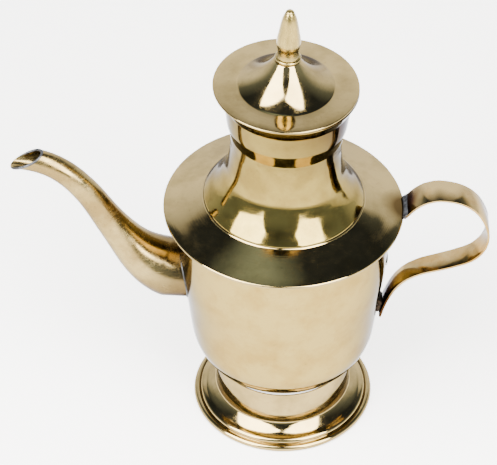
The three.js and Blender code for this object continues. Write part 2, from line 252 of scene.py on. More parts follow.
def brass(name, bright, tarnished, stain_and_shade_colour, tarnish, shine, joints, wave=1.0, lines=1.0):
    """A buffed brass. `tarnish` is how much of it is clouded, `shine` the roughness of clean metal."""
    material = bpy.data.materials.new(name)
    material.use_nodes = True
    tree = material.node_tree
    tree.nodes.clear()
    millimetres = object_mm(tree)
    round_it = lathe_coordinates(tree, millimetres)

    clouds = noise(tree, millimetres, 1 / TARNISH_MM, 4.0, 0.6)
    specks = noise(tree, millimetres, 1 / SPECK_MM, 3.0, 0.6)
    mottled = noise(tree, millimetres, 1 / MOTTLE_MM, 5.0, 0.65)
    circles = noise(tree, stretched(tree, round_it, (1.2, 1.6, 1.6)), 1.0, 2.0)
    wiped = noise(tree, stretched(tree, millimetres, (0.12, 0.12, 1 / SCRATCH_MM)), 1.0, 3.0, 0.7)

    cloud_edge = 0.62 - 0.3 * tarnish
    clouded = between(tree, clouds, cloud_edge, cloud_edge + 0.22, 0.0, 0.85)
    colour = mixed(tree, clouded, linear(bright), linear(tarnished))
    speckled = between(tree, specks, 0.6, 0.78, 0.0, 0.35 * tarnish)
    colour = mixed(tree, speckled, colour, linear(stain_and_shade_colour))
    # Torch stains round the joints; on the neck the same mask paints shade under the lid.
    colour = mixed(tree, stain_and_shade_mask(tree, millimetres, joints), colour, linear(stain_and_shade_colour))

    worn = between(tree, wiped, 0.3, 0.75, shine * 0.7, shine * 1.5)
    dulled = between(tree, mottled, 0.42, 0.72, 0.0, 0.14 * tarnish)
    rough = add(tree, "ShaderNodeMath", {0: worn, 1: dulled}, operation="ADD").outputs[0]

    slow = noise(tree, millimetres, 1 / WAVE_MM, 1.0)
    waves = add(tree, "ShaderNodeBump", {"Strength": 1.0, "Distance": WAVE_DEPTH * wave, "Height": slow})
    fine = add(
        tree,
        "ShaderNodeBump",
        {"Strength": 1.0, "Distance": LINE_DEPTH * lines, "Height": circles, "Normal": waves.outputs[0]},
    )
    scratched = add(
        tree,
        "ShaderNodeBump",
        {"Strength": 1.0, "Distance": SCRATCH_DEPTH, "Height": wiped, "Normal": fine.outputs[0]},
    )
    shader = add(
        tree,
        "ShaderNodeBsdfPrincipled",
        {
            "Base Color": colour, "Metallic": 1.0, "Roughness": rough, "Normal": scratched.outputs[0],
            "Specular Tint": linear(EDGE_TINT),
        },
    )
    add(tree, "ShaderNodeOutputMaterial", {"Surface": shader.outputs[0]})
    print(name, "has", len(tree.nodes), "nodes")
    return material


# %% [markdown]
# The bowl has the yellowest polish. The foot, the brim and the lid are a little greyer, with
# clearer circles from the lathe. The neck's colour is darker as painted shade, because what it
# mirrors is darker, and a broad brown patch of painted shade lies on its mouth under the lid, on
# the handle's side. The spout is rougher, from hammering. The strap is rolled strip, with
# browner tarnish and a brown stain from the torch at both ends.

# %% The brass finishes
SPOUT_ROOT = (-56, 0, 93)
HANDLE_TOP = (67, 0, 140)
HANDLE_FOOT = (54, 0, 70)
# Painted shade under the lid's flange, laid on the neck's mouth in the stain colour.
NECK_MOUTH_SHADE = (19, 0, 226)

polished_brass = brass(
    "polished_spun_brass", "8f7b45", "826b35", "4f3a1a", tarnish=0.6, shine=0.07,
    joints=[(*SPOUT_ROOT, 24), (*HANDLE_FOOT, 17)],
)
# The neck's brass is a darker copy of the bowl's: its colour is painted shade for the darker table and shadow
# that the neck mirrors.
neck_brass_painted_dark = brass(
    "neck_brass_with_painted_shade", "756534", "645328", "3f3017", tarnish=0.65, shine=0.075, lines=1.6,
    joints=[(*NECK_MOUTH_SHADE, 52)],
)
turned_brass = brass(
    "turned_brim_brass", "8f7c50", "796840", "46371d", tarnish=0.6, shine=0.065, lines=2.5,
    joints=[(*HANDLE_TOP, 16)],
)
spout_brass = brass(
    "hammered_spout_brass", "8a784c", "6a5732", "2c1e10", tarnish=0.9, shine=0.19, wave=2.4, lines=0.4,
    joints=[(*SPOUT_ROOT, 27)],
)
strap_brass = brass(
    "rolled_strip_brass", "968052", "83642f", "35220f", tarnish=0.55, shine=0.09, wave=1.3, lines=0.6,
    joints=[(*HANDLE_TOP, 15), (*HANDLE_FOOT, 24)],
)

# %% [markdown]
# ## Cast brass, solder and wire
# The finial has the satin of a casting that was filed and rubbed with a cloth, and its low
# places keep a browner skin. Soft solder is tin and lead. It goes on as a bright bead and
# dulls to a lumpy grey with a soft sheen, which is why the joints show as thin dark lines.
# The one at the handle's lower end is almost black, as if the torch had scorched it.

# %% Finishes for the finial, the joints and the hidden wire
GRAIN_MM = 0.7            # size of the fine grain in a dull surface
GRAIN_DEPTH = 0.00001     # in metres


def satin_metal(name, bright, dark, shine, lump_mm, lump_height_mm, streaks=(1, 1, 1)):
    """A dull metal with lumps of a given size and height; `streaks` stretches them."""
    material = bpy.data.materials.new(name)
    material.use_nodes = True
    tree = material.node_tree
    tree.nodes.clear()
    millimetres = object_mm(tree)
    lumps = noise(tree, stretched(tree, millimetres, streaks), 1 / lump_mm, 3.0, 0.6)
    grain = noise(tree, millimetres, 1 / GRAIN_MM, 2.0)
    colour = mixed(tree, between(tree, lumps, 0.35, 0.7, 0.0, 1.0), linear(dark), linear(bright))
    rough = between(tree, grain, 0.3, 0.7, shine * 0.8, shine * 1.25)
    bump = add(tree, "ShaderNodeBump", {"Strength": 1.0, "Distance": lump_height_mm / 1000, "Height": lumps})
    fine = add(
        tree,
        "ShaderNodeBump",
        {"Strength": 1.0, "Distance": GRAIN_DEPTH, "Height": grain, "Normal": bump.outputs[0]},
    )
    shader = add(
        tree,
        "ShaderNodeBsdfPrincipled",
        {"Base Color": colour, "Metallic": 1.0, "Roughness": rough, "Normal": fine.outputs[0]},
    )
    add(tree, "ShaderNodeOutputMaterial", {"Surface": shader.outputs[0]})
    return material


cast_brass = satin_metal("filed_cast_brass", "8f7c48", "756538", 0.24, 2.6, 0.06, streaks=(1, 1, 0.12))
soft_solder = satin_metal("dull_soft_solder", "4f4f50", "282829", 0.4, 2.2, 0.06)
scorched_solder = satin_metal("scorched_solder", "30261c", "130e0a", 0.45, 2.2, 0.06)
steel_wire = satin_metal("drawn_steel_wire", "85837e", "5a5752", 0.4, 1.5, 0.03)
print("satin finishes:", cast_brass.name, soft_solder.name, steel_wire.name)

# %% [markdown]
# ## Outlines
# A spun piece is one line turned round an axis, so the work is in drawing that line. Its
# points are (radius, height) pairs. A few measured points and a smooth curve through them give
# a fairer line than many points do: each span is a Bezier curve whose handles point along
# the line between its neighbours, much as Blender's own automatic handles do.

# %% Curves through points, and arcs
def through(points, per_span=6):
    """A smooth line through (a, b) points, with `per_span` steps between each two."""
    knots = [Vector((a, b, 0)) for a, b in points]
    line = []
    for i in range(len(knots) - 1):
        start, end = knots[i], knots[i + 1]
        before = knots[max(i - 1, 0)]
        after = knots[min(i + 2, len(knots) - 1)]
        leave = start + (end - before) / 6
        arrive = end - (after - start) / 6
        line += interpolate_bezier(start, leave, arrive, end, per_span + 1)[:-1]
    return [(p.x, p.y) for p in [*line, knots[-1]]]


def arc(centre, radius, start, end, steps):
    """Part of a circle round a (radius, height) centre; angles in degrees."""
    angles = [math.radians(start + (end - start) * i / steps) for i in range(steps + 1)]
    return [(centre[0] + radius * math.cos(a), centre[1] + radius * math.sin(a)) for a in angles]


print("a test curve has", len(through([(0, 0), (1, 2), (3, 3)])), "points")

# %% [markdown]
# ## Spinning a sheet
# `bmesh.ops.spin` turns the line round the axis in steps and joins the last step to the
# first. Where the line touches the axis every step makes the same point, so doubles are
# merged to close the pole. Then the normals are set right, and only after that does
# `solidify` give the sheet its thickness inwards. A narrow bevel rounds the cut edges of the
# sheet, because a sharp edge catches no light and looks false.

# %% Spin, wall and finish
SPIN_STEPS = 160
SMOOTH_BELOW = 38         # degrees; two faces that meet more sharply show an edge


def line_mesh(points, closed=False):
    """A bmesh that holds one line in the XZ plane."""
    bm = bmesh.new()
    verts = [bm.verts.new((radius, 0, height)) for radius, height in points]
    pairs = list(zip(verts, verts[1:])) + ([(verts[-1], verts[0])] if closed else [])
    for pair in pairs:
        bm.edges.new(pair)
    return bm


def spun(points, closed=False, steps=SPIN_STEPS):
    """Turns a line once round Z, closes its poles and points its faces outwards."""
    bm = line_mesh(points, closed)
    bmesh.ops.spin(
        bm, geom=[*bm.verts, *bm.edges], cent=(0, 0, 0), axis=(0, 0, 1),
        angle=math.tau, steps=steps, use_merge=True,
    )
    bmesh.ops.remove_doubles(bm, verts=bm.verts, dist=1e-4)
    bmesh.ops.recalc_face_normals(bm, faces=bm.faces)
    return bm


def turned_out(bm, is_out):
    """Turns every face over if the face picked out by `is_out` looks inwards."""
    face = max(bm.faces, key=lambda f: is_out.dot(f.calc_center_median()))
    if face.normal.dot(is_out) < 0:
        bmesh.ops.reverse_faces(bm, faces=bm.faces)
    return bm


def soften(bm, width, sharper_than=50):
    """Bevels every edge that is sharper than an angle."""
    limit = math.radians(sharper_than)
    sharp = [e for e in bm.edges if len(e.link_faces) == 2 and e.calc_face_angle() > limit]
    bmesh.ops.bevel(
        bm, geom=sharp, offset=width, offset_type="OFFSET", segments=2,
        profile=0.5, affect="EDGES", material=-1, clamp_overlap=True,
    )
    return bm


def walled(bm, thickness, edge=0.25):
    """Gives an open surface its thickness inwards and rounds the cut edges."""
    bmesh.ops.solidify(bm, geom=bm.faces[:], thickness=thickness)
    bm.normal_update()
    return soften(bm, min(edge, thickness * 0.35))


def finish(bm, name, material, body, place=pot_frame):
    """Carries a mesh into metres, shades it smooth, and gives it its finish and its body."""
    bmesh.ops.transform(bm, matrix=place, verts=bm.verts)
    limit = math.radians(SMOOTH_BELOW)
    for face in bm.faces:
        face.smooth = True
    for edge in bm.edges:
        edge.smooth = len(edge.link_faces) == 2 and edge.calc_face_angle() < limit
    mesh = bpy.data.meshes.new(name)
    bm.to_mesh(mesh)
    bm.free()
    mesh.materials.append(material)
    piece = bpy.data.objects.new(name, mesh)
    bpy.context.scene.collection.objects.link(piece)
    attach(piece, body)
    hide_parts(name.removesuffix("_piece"))
    print(name, len(mesh.polygons), "faces")
    return piece


# %% [markdown]
# ## The foot
# One disc of sheet makes the foot: a short straight collar that holds the bowl, a flare, and
# an edge rolled round a steel wire so that it doesn't dent. The flare turns out of the collar
# tightly and then eases towards the edge. Two shallow steps near the edge show as thin rings.
# The roll is worn flat where it stands on the table.

# %% Make the foot and the wire in its edge
FOOT_RADIUS = 50.4
COLLAR_RADIUS = 37.5
COLLAR_TOP = 33.1
FLARE_TOP = 13.5
STEP_DEPTH = 0.025
STEP_POINTS = (3, 4, 9, 10)     # the flare's points that lie lower, in two pairs
THIN_SHEET = 0.8
CLEARANCE = 0.3           # room between two pieces that nearly touch

roll_centre = (FOOT_RADIUS - ROLL_RADIUS, ROLL_RADIUS)
inner_lip = arc(roll_centre, ROLL_RADIUS, -150, -105, 5)
outer_roll = arc(roll_centre, ROLL_RADIUS, -75, 135, 22)
flare = through(
    [
        outer_roll[-1], (46, 5.55), (43, 6.75), (40.6, 8.2), (38.9, 9.5), (38, 10.4), (37.6, 11.3),
        (COLLAR_RADIUS, FLARE_TOP),
    ],
    per_span=7,
)
stepped = [
    (radius, height - (STEP_DEPTH if i in STEP_POINTS else 0)) for i, (radius, height) in enumerate(flare)
][1:]
collar = [(COLLAR_RADIUS + 0.2, 22), (COLLAR_RADIUS + 0.6, COLLAR_TOP)]
foot = spun(inner_lip + outer_roll + stepped + collar)
turned_out(foot, Vector((1, 0, 0)))
finish(walled(foot, THIN_SHEET), "foot_pedestal_piece", turned_brass, "pot")

wire = spun(arc(roll_centre, ROLL_RADIUS - THIN_SHEET - CLEARANCE, 0, 345, 23), closed=True)
finish(wire, "foot_edge_wire_piece", steel_wire, "pot")

# %% [markdown]
# ## The bowl
# The deep part of the pot narrows from a straight upper wall into a round belly, like an egg
# with its top cut off. It was spun from the flat disc that is still its floor, so its outline
# starts on the axis. The rim is trimmed to fit under the leaning brim, which `bisect_plane`
# does with one tilted cut.

# %% Make the bowl
BOWL_BOTTOM = 27.5
BOWL_TOP = 146
BOWL_RADIUS = 57.4
WALL = 1.2
BRIM_RADIUS = 65.3
CREASE_RADIUS = 43.6
BRIM_SHEET = 1.0
UPRIGHT_SHEET = 1.06      # the sloping sheet measures this much more from bottom to top

bowl_line = [(0, BOWL_BOTTOM), (11, BOWL_BOTTOM), (22, BOWL_BOTTOM)] + through(
    [
        (27, 28.1), (33.4, 30.8), (39.4, 36.4), (45.8, 43.4), (50, 52.5), (51.9, 65),
        (53.6, 80), (56.2, 100), (57.2, 118), (BOWL_RADIUS, BOWL_TOP),
    ],
    per_span=5,
)
cone_slope = (CREASE_HEIGHT - BRIM_HEIGHT) / (BRIM_RADIUS - 1 - CREASE_RADIUS)


def cone_height(radius):
    """Height of the brim's cone at a radius, in the brim's own frame."""
    return BRIM_HEIGHT + cone_slope * (BRIM_RADIUS - 1 - radius)


def spun_bowl():
    """The bowl's outside, cut just below the leaning brim's underside."""
    bm = turned_out(spun(bowl_line), Vector((1, 0, 0)))
    lean = Matrix.Rotation(math.radians(BRIM_LEAN), 4, "Y")
    rim = cone_height(BOWL_RADIUS) - BRIM_SHEET * UPRIGHT_SHEET - CLEARANCE
    bmesh.ops.bisect_plane(
        bm, geom=[*bm.verts, *bm.edges, *bm.faces], plane_co=(0, 0, rim),
        plane_no=lean @ Vector((0, 0, 1)), clear_outer=True,
    )
    return bm


bowl_surface = BVHTree.FromBMesh(spun_bowl())
finish(walled(spun_bowl(), WALL), "bowl_piece", polished_brass, "pot")

# %% [markdown]
# ## The brim
# A shallow cone caps the bowl, with its edge turned down into a narrow lip that
# stiffens it. The neck stands on its inner edge. The turn between cone and lip catches a
# bright line of light, so it gets a true radius here and not a sharp corner.

# %% Make the brim and the seam under it
LIP_DEPTH = 1.6
SHOULDER_HOLE = 38.5
LIP_TURN = 0.9

turn_centre = (BRIM_RADIUS - LIP_TURN, BRIM_HEIGHT - LIP_TURN + 0.05)
cone_angle = 90 - math.degrees(math.atan(cone_slope))
brim_line = (
    [(BRIM_RADIUS - 0.15, BRIM_HEIGHT - LIP_DEPTH)]
    + arc(turn_centre, LIP_TURN, 0, cone_angle, 8)
    + through([(60, cone_height(60)), (55, cone_height(55) - 0.12), (49, cone_height(49) - 0.1),
               (SHOULDER_HOLE, cone_height(SHOULDER_HOLE))], 8)
)
brim = turned_out(spun(brim_line, steps=192), Vector((0.2, 0, 1)))
finish(walled(brim, BRIM_SHEET), "shoulder_brim_piece", turned_brass, "pot", brim_frame)

seam_radius = BOWL_RADIUS + 0.05
seam_top = cone_height(seam_radius + 1.7) - BRIM_SHEET - CLEARANCE
bowl_seam = spun(
    [(seam_radius, seam_top - 1.6), (seam_radius + 0.6, seam_top - 0.7), (seam_radius + 1.8, seam_top),
     (seam_radius, seam_top + 0.1)], closed=True,
)
finish(soften(bowl_seam, 0.15), "bowl_seam_solder_piece", soft_solder, "pot", brim_frame)

# %% [markdown]
# ## The neck
# The neck is a waisted tube like a trumpet's bell at both ends. The lower bell spreads out
# until it lies almost flat on the brim, and mirrors first the table, then the horizon,
# then the lights above. That is why one smooth curve shows such hard bands. Higher up a
# narrow band leans out, with an almost straight stretch above it and a quick flare to the
# lip. The line is drawn as three smooth stretches, so that it turns clearly where they meet.

# %% Make the neck and the seam at its foot
MOUTH_RADIUS = 37.5
MOUTH_HEIGHT = 224.4

neck_line = [(CREASE_RADIUS, CREASE_HEIGHT + 0.5)] + through(
    [
        (CREASE_RADIUS - 0.35, CREASE_HEIGHT + 1.3), (40.9, 154.1), (37.6, 158.3), (34.6, 163.4),
        (31.9, 169.5), (30.4, 178), (29.75, 186), (29.85, 191), (30.25, 195.4),
    ],
    per_span=6,
) + through(
    [
        (30.6, 196.8), (31.4, 199.9), (32.1, 202.7), (32.55, 205.5), (33, 209.5), (33.5, 214),
        (33.9, 217.2),
    ],
    per_span=4,
) + through([(34.6, 218.4), (36.1, 221.4), (MOUTH_RADIUS, MOUTH_HEIGHT)], per_span=4)
neck = turned_out(spun(neck_line, steps=192), Vector((1, 0, 0)))
finish(walled(neck, WALL), "neck_piece", neck_brass_painted_dark, "pot", neck_frame)

bead_radius = CREASE_RADIUS + 0.1
bead_foot = cone_height(bead_radius)
neck_seam = spun(
    [(bead_radius - 0.6, bead_foot + 0.1), (bead_radius + 0.7, bead_foot - 0.2),
     (bead_radius + 0.3, bead_foot + 0.25), (bead_radius - 0.5, bead_foot + 0.7)],
    closed=True, steps=192,
)
finish(soften(neck_seam, 0.2), "neck_seam_solder_piece", turned_brass, "pot", brim_frame)

foot_seam_outer = COLLAR_RADIUS - THIN_SHEET + 0.1
foot_seam = spun(
    [(foot_seam_outer - 1.9, 30.2), (foot_seam_outer, 29.4), (foot_seam_outer, 32)], closed=True,
)
finish(soften(foot_seam, 0.15), "foot_seam_solder_piece", soft_solder, "pot")

# %% [markdown]
# ## Bending a straight piece along a line
# The spout and the handle are both straight things that were bent: a tapered tube and a flat
# bar. So each is made straight, standing along Z from 0 to 1, and then every point is carried
# on to a curve in the pot's plane. Its height says how far along the curve it goes, and its
# X becomes the direction across the curve. The two ends keep their true lengths because the
# curve is measured first.

# %% Measure a curve, and bend a mesh along it
def measured(points):
    """A function from a fraction of a curve's length to the point there and its direction."""
    line = [Vector((a, 0, b)) for a, b in through(points, per_span=14)]
    reach = [0.0]
    for start, end in zip(line, line[1:]):
        reach.append(reach[-1] + (end - start).length)

    def at(fraction):
        goal = min(max(fraction, 0), 1) * reach[-1]
        i = next(i for i in range(1, len(reach)) if reach[i] >= goal - 1e-9)
        part = (goal - reach[i - 1]) / (reach[i] - reach[i - 1])
        before, after = line[max(i - 2, 0)], line[min(i + 1, len(line) - 1)]
        return line[i - 1].lerp(line[i], part), (after - before).normalized()

    return at, reach[-1]


def bent(bm, at, breadth):
    """Bends a mesh that stands along Z from 0 to 1; its Y is multiplied by breadth(fraction)."""
    for vert in bm.verts:
        centre, along = at(vert.co.z)
        across = Vector((along.z, 0, -along.x))
        vert.co = centre + across * vert.co.x + Vector((0, vert.co.y * breadth(vert.co.z), 0))
    bm.normal_update()
    return bm


def bead(points, radius):
    """A round bead of solder along a closed loop of points."""
    curve = bpy.data.curves.new("bead", "CURVE")
    curve.dimensions = "3D"
    curve.bevel_depth = radius
    curve.bevel_resolution = 5
    spline = curve.splines.new("POLY")
    spline.points.add(len(points) - 1)
    for point, place in zip(spline.points, points):
        point.co = (*place, 1)
    spline.use_cyclic_u = True
    holder = bpy.data.objects.new("bead", curve)
    bpy.context.scene.collection.objects.link(holder)
    bm = bmesh.new()
    bm.from_mesh(holder.to_mesh())
    bpy.data.objects.remove(holder)
    bmesh.ops.remove_doubles(bm, verts=bm.verts, dist=1e-4)
    bmesh.ops.recalc_face_normals(bm, faces=bm.faces)
    return bm


# %% [markdown]
# ## The spout
# A curved beak that starts wide and low on the bowl, so that coffee leaves from under the
# froth, and rises to a narrow tip. The tube tapers fast near the bowl and hardly at all
# after that, and it is squeezed a little from both sides near the tip. It stops a little short
# of the bowl, and its last ring is then carried to the bowl's surface by casting a ray from
# each of its points. That gives the saddle shape that a coppersmith files by hand. One
# slanting cut makes the mouth.
#
# One fault is left. The ring's nine highest points start just inside the bowl's wall, so their
# rays cross the bowl to its far wall. They leave stray faces of the tube inside the bowl, and
# the bead of solder below follows them. A ring that starts farther out would cure it.

# %% Make the spout
SPOUT_TIP_RADIUS = 6.2
SPOUT_ROOT_RADIUS = 16.8
SPOUT_TAPER = 33
TAPER_POWER = 2.6
TIP_SQUEEZE = 0.16
SPOUT_WALL = 1.1
INSIDE_BOWL = 16
ROOT_HEIGHT = 91.5
ROOT_SINK = 0.25          # how far the spout's root is sunk into the bowl's wall

spout_at, spout_length = measured(
    [
        (-40, ROOT_HEIGHT), (-52, 92.6), (-66.6, 97.7), (-80, 108.8), (-93, 127.8), (-106, 150.3),
        (-118.5, 165), (-132.4, 172.8), (-152, 176.4),
    ]
)


def spout_radius(fraction):
    """Outer radius of the spout, from its distance beyond the bowl's wall."""
    beyond = max(fraction * spout_length - INSIDE_BOWL, 0)
    spread = 1 + (beyond / SPOUT_TAPER) ** TAPER_POWER
    return SPOUT_TIP_RADIUS + (SPOUT_ROOT_RADIUS - SPOUT_TIP_RADIUS) / spread


ROOT_FRACTION = (INSIDE_BOWL + 7) / spout_length
RINGS = 96
rings = [ROOT_FRACTION + (1 - ROOT_FRACTION) * i / RINGS for i in range(RINGS + 1)]
spout = spun([(spout_radius(f), f) for f in rings], steps=72)
turned_out(spout, Vector((1, 0, 0)))
root_ring = [v for v in spout.verts if v.co.z < rings[0] + 1e-6]
bent(spout, spout_at, lambda f: 1 - TIP_SQUEEZE * f**4)

mouth_top, mouth_lip = Vector((-127.2, 0, 179.7)), Vector((-149.4, 0, 167.6))
slant = (mouth_top - mouth_lip).normalized()
mouth_out = Vector((-slant.z, 0, slant.x))
mouth_cut = bmesh.ops.bisect_plane(
    spout, geom=[*spout.verts, *spout.edges, *spout.faces], plane_co=mouth_top,
    plane_no=mouth_out, clear_outer=True,
)["geom_cut"]
mouth_middle = (mouth_top + mouth_lip) / 2
mouth_loop = sorted(
    (v.co.copy() for v in mouth_cut if isinstance(v, bmesh.types.BMVert)),
    key=lambda p: math.atan2(p.y, (p - mouth_middle).dot(slant)),
)

root_edges = [e for e in spout.edges if e.is_boundary and all(v in root_ring for v in e.verts)]
grown = bmesh.ops.extrude_edge_only(spout, edges=root_edges)["geom"]
new_ring = [v for v in grown if isinstance(v, bmesh.types.BMVert)]
for vert in new_ring:
    hit = bowl_surface.ray_cast(vert.co, Vector((1, 0, -0.06)))[0]
    vert.co = hit + Vector((ROOT_SINK, 0, 0))
root_loop = sorted((v.co.copy() for v in new_ring), key=lambda p: math.atan2(p.z - ROOT_HEIGHT, p.y))
bmesh.ops.recalc_face_normals(spout, faces=spout.faces)
turned_out(spout, Vector((0, -1, 0)))
finish(walled(spout, SPOUT_WALL, 0.2), "spout_piece", spout_brass, "pot")
print("the spout is", round(spout_length - INSIDE_BOWL), "mm along its middle")

# %% [markdown]
# Two beads of solder finish the spout. One fills the corner between it and the bowl. The other
# is a thin grey coat round the mouth, which hides the raw edge of the sheet.

# %% Solder the spout
ROOT_BEAD = 0.75
MOUTH_BEAD = 0.72

root_solder = bead(root_loop, ROOT_BEAD)
finish(root_solder, "spout_root_solder_piece", soft_solder, "pot")

coat_loop = [p - mouth_out * 0.35 + (mouth_middle - p).normalized() * 0.45 for p in mouth_loop]
mouth_solder = bead(coat_loop, MOUTH_BEAD)
bmesh.ops.transform(mouth_solder, matrix=pot_frame, verts=mouth_solder.verts)
for face in mouth_solder.faces:
    face.smooth = True
lip_mesh = bpy.data.meshes.new("spout_mouth_solder")
mouth_solder.to_mesh(lip_mesh)
lip_mesh.materials.append(soft_solder)
spout_mouth_solder = bpy.data.objects.new("spout_mouth_solder", lip_mesh)
bpy.context.scene.collection.objects.link(spout_mouth_solder)
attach(spout_mouth_solder, "pot")
print("mouth loop of", len(mouth_loop), "points")

# %% [markdown]
# ## The handle
# A strip of sheet brass is bent into a loop that takes three fingers. It rises from the brim's
# lip, turns over, and comes back in an S to lie down along the bowl. The strip narrows
# towards its lower end. It starts as a cube scaled to a bar one unit tall, cut across into many
# short lengths so that it can bend, and its four long corners are bevelled as a file
# would break them.

# %% Make the handle
STRAP_WIDTH = 17.6
STRAP_END_WIDTH = 11.8
STRAP_THICKNESS = 1.3

handle_at, handle_length = measured(
    [
        (66.3, 141), (69.2, 144.6), (72.9, 148.2), (78, 151.2), (85.5, 152.5), (96.5, 149.8),
        (104.8, 143.2), (110.1, 133), (111.5, 123.5), (109, 114.4), (103, 107.5), (94, 103.2),
        (84.5, 99.9), (75.5, 96.8), (67.8, 92.1), (62.2, 85.6), (58.3, 77.8), (55.7, 70.3),
        (54, 63.4),
    ]
)


def half_strap(fraction):
    """Half the strap's width at a fraction of its length."""
    return (STRAP_WIDTH + (STRAP_END_WIDTH - STRAP_WIDTH) * fraction) / 2


strap = bmesh.new()
bmesh.ops.create_cube(strap, size=1)
bmesh.ops.scale(strap, vec=(STRAP_THICKNESS, 2, 1), verts=strap.verts)
bmesh.ops.translate(strap, vec=(0, 0, 0.5), verts=strap.verts)
upright = [e for e in strap.edges if abs(e.verts[0].co.z - e.verts[1].co.z) > 0.5]
bmesh.ops.subdivide_edges(strap, edges=upright, cuts=150, use_grid_fill=True)
bent(strap, handle_at, half_strap)
finish(soften(strap, 0.3, 60), "handle_strap_piece", strap_brass, "pot")
print("the strip is", round(handle_length), "mm long")

# %% [markdown]
# Solder holds the strap at both ends. Each joint is part of a ring that lies against the
# round bowl or lip, so `spin` makes it with a small angle and no merging, and the two open
# ends are filled.

# %% Solder the handle's two ends
def solder_patch(section, half_width):
    """A patch of solder: a closed section spun a little way either side of the handle."""
    reach = math.asin(half_width / section[0][0])
    bm = line_mesh(section, closed=True)
    bmesh.ops.rotate(bm, cent=(0, 0, 0), matrix=Matrix.Rotation(-reach, 3, "Z"), verts=bm.verts)
    start = bm.edges[:]
    end = bmesh.ops.spin(
        bm, geom=[*bm.verts, *bm.edges], cent=(0, 0, 0), axis=(0, 0, 1), angle=2 * reach, steps=14,
    )["geom_last"]
    bmesh.ops.edgeloop_fill(bm, edges=start)
    bmesh.ops.edgeloop_fill(bm, edges=[e for e in end if isinstance(e, bmesh.types.BMEdge)])
    bmesh.ops.recalc_face_normals(bm, faces=bm.faces)
    return soften(bm, 0.35, 45)


upper = solder_patch(
    [(BRIM_RADIUS - 0.4, 139.4), (66.6, 139.3), (68.4, 142.3), (67.6, 143.3), (BRIM_RADIUS - 0.5, 141.6)],
    STRAP_WIDTH / 2 - 0.6,
)
finish(upper, "handle_upper_solder_piece", soft_solder, "pot")

wall_side = [(51.6, 65.4), (52.2, 70), (53, 75)]
strap_side = [(55.4, 73.2), (54.5, 69.6), (53.6, 66.4)]
lower = solder_patch(wall_side + strap_side, STRAP_END_WIDTH / 2 - 1.6)
finish(lower, "handle_lower_solder_piece", scorched_solder, "pot")

# %% [markdown]
# ## The lid
# One sheet makes the wide flange and the hollow-sided dome: the sides fall in a curve, steep at
# the top and easy at the bottom, to a clear crease where the flange starts. A short
# collar soldered underneath drops into the neck and keeps the loose lid from sliding off. All of it
# rides on the lid's own body, so it lifts away in one piece.

# %% Make the lid and its collar
LID_RADIUS = 38.7
LID_HEIGHT = 226.7
FLANGE_RISE = 0.7
DOME_RADIUS = 26
DOME_TOP = 244.4
SEAT_RADIUS = 6.9
LID_SHEET = 0.95

dome_foot = Vector((DOME_RADIUS, LID_HEIGHT + FLANGE_RISE, 0))
dome_seat = Vector((SEAT_RADIUS, DOME_TOP, 0))
hollow = Vector((13.5, 233.8, 0))
dome = interpolate_bezier(
    dome_foot, dome_foot.lerp(hollow, 2 / 3), dome_seat.lerp(hollow, 2 / 3), dome_seat, 31,
)
lid_line = (
    [(LID_RADIUS, LID_HEIGHT - 0.9)]
    + arc((LID_RADIUS - 0.5, LID_HEIGHT - 0.5), 0.5, 0, 86, 5)
    + [(34.5, LID_HEIGHT + 0.2), (30, LID_HEIGHT + 0.42)]
    + [(DOME_RADIUS + 0.4, LID_HEIGHT + FLANGE_RISE - 0.06)]
    + [(p.x, p.y) for p in dome]
    + [(4.5, DOME_TOP + 0.05), (2.3, DOME_TOP + 0.1)]
)
lid = turned_out(spun(lid_line, steps=192), Vector((0.2, 0, 1)))
finish(walled(lid, LID_SHEET, 0.2), "lid_cover_piece", turned_brass, "lid", lid_frame)

PLUG_RADIUS = 31
plug_top = LID_HEIGHT - 0.85
plug_foot = plug_top - 8
plug = spun(
    [(PLUG_RADIUS - 0.6, plug_foot), (PLUG_RADIUS - 0.1, plug_foot + 0.7), (PLUG_RADIUS, plug_foot + 1.6),
     (PLUG_RADIUS, plug_top)]
)
turned_out(plug, Vector((1, 0, 0)))
finish(walled(plug, THIN_SHEET, 0.2), "lid_plug_piece", turned_brass, "lid", lid_frame)

plug_seam = spun(
    [(PLUG_RADIUS - 0.05, plug_top - 1.7), (PLUG_RADIUS + 0.7, plug_top - 0.8), (PLUG_RADIUS + 1.7, plug_top),
     (PLUG_RADIUS - 0.05, plug_top + 0.1)], closed=True,
)
finish(soften(plug_seam, 0.15), "lid_plug_solder_piece", soft_solder, "lid", lid_frame)

# %% [markdown]
# ## The finial
# A slim pointed bud stands on a turned ring, and a tang runs down from it through the lid to a
# washer and a nut. Soft flats run up it, as a file would leave them, and nine is a guess at
# their number. The spun bud is perfectly round, so each of its points is pulled a little towards
# the flat side of a nine-sided prism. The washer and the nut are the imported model's own meshes:
# only someone who lifts the lid and looks underneath sees them, so they get a finish and stay.

# %% Make the finial, its ring and its fixing
RING_BOTTOM = DOME_TOP + 0.1
FILED_FLATS = 9
FLATNESS = 0.25
FLATS_FOOT = 253
FLATS_TOP = 275

ring_line = [
    (2.2, RING_BOTTOM), (6.5, RING_BOTTOM), *arc((6.0, RING_BOTTOM + 1.05), 0.95, -50, 50, 8),
    (6.1, RING_BOTTOM + 2.0), (2.2, RING_BOTTOM + 2.0),
]
finial_ring = spun(ring_line, closed=True, steps=96)
finish(finial_ring, "finial_ring_piece", cast_brass, "lid", finial_frame)

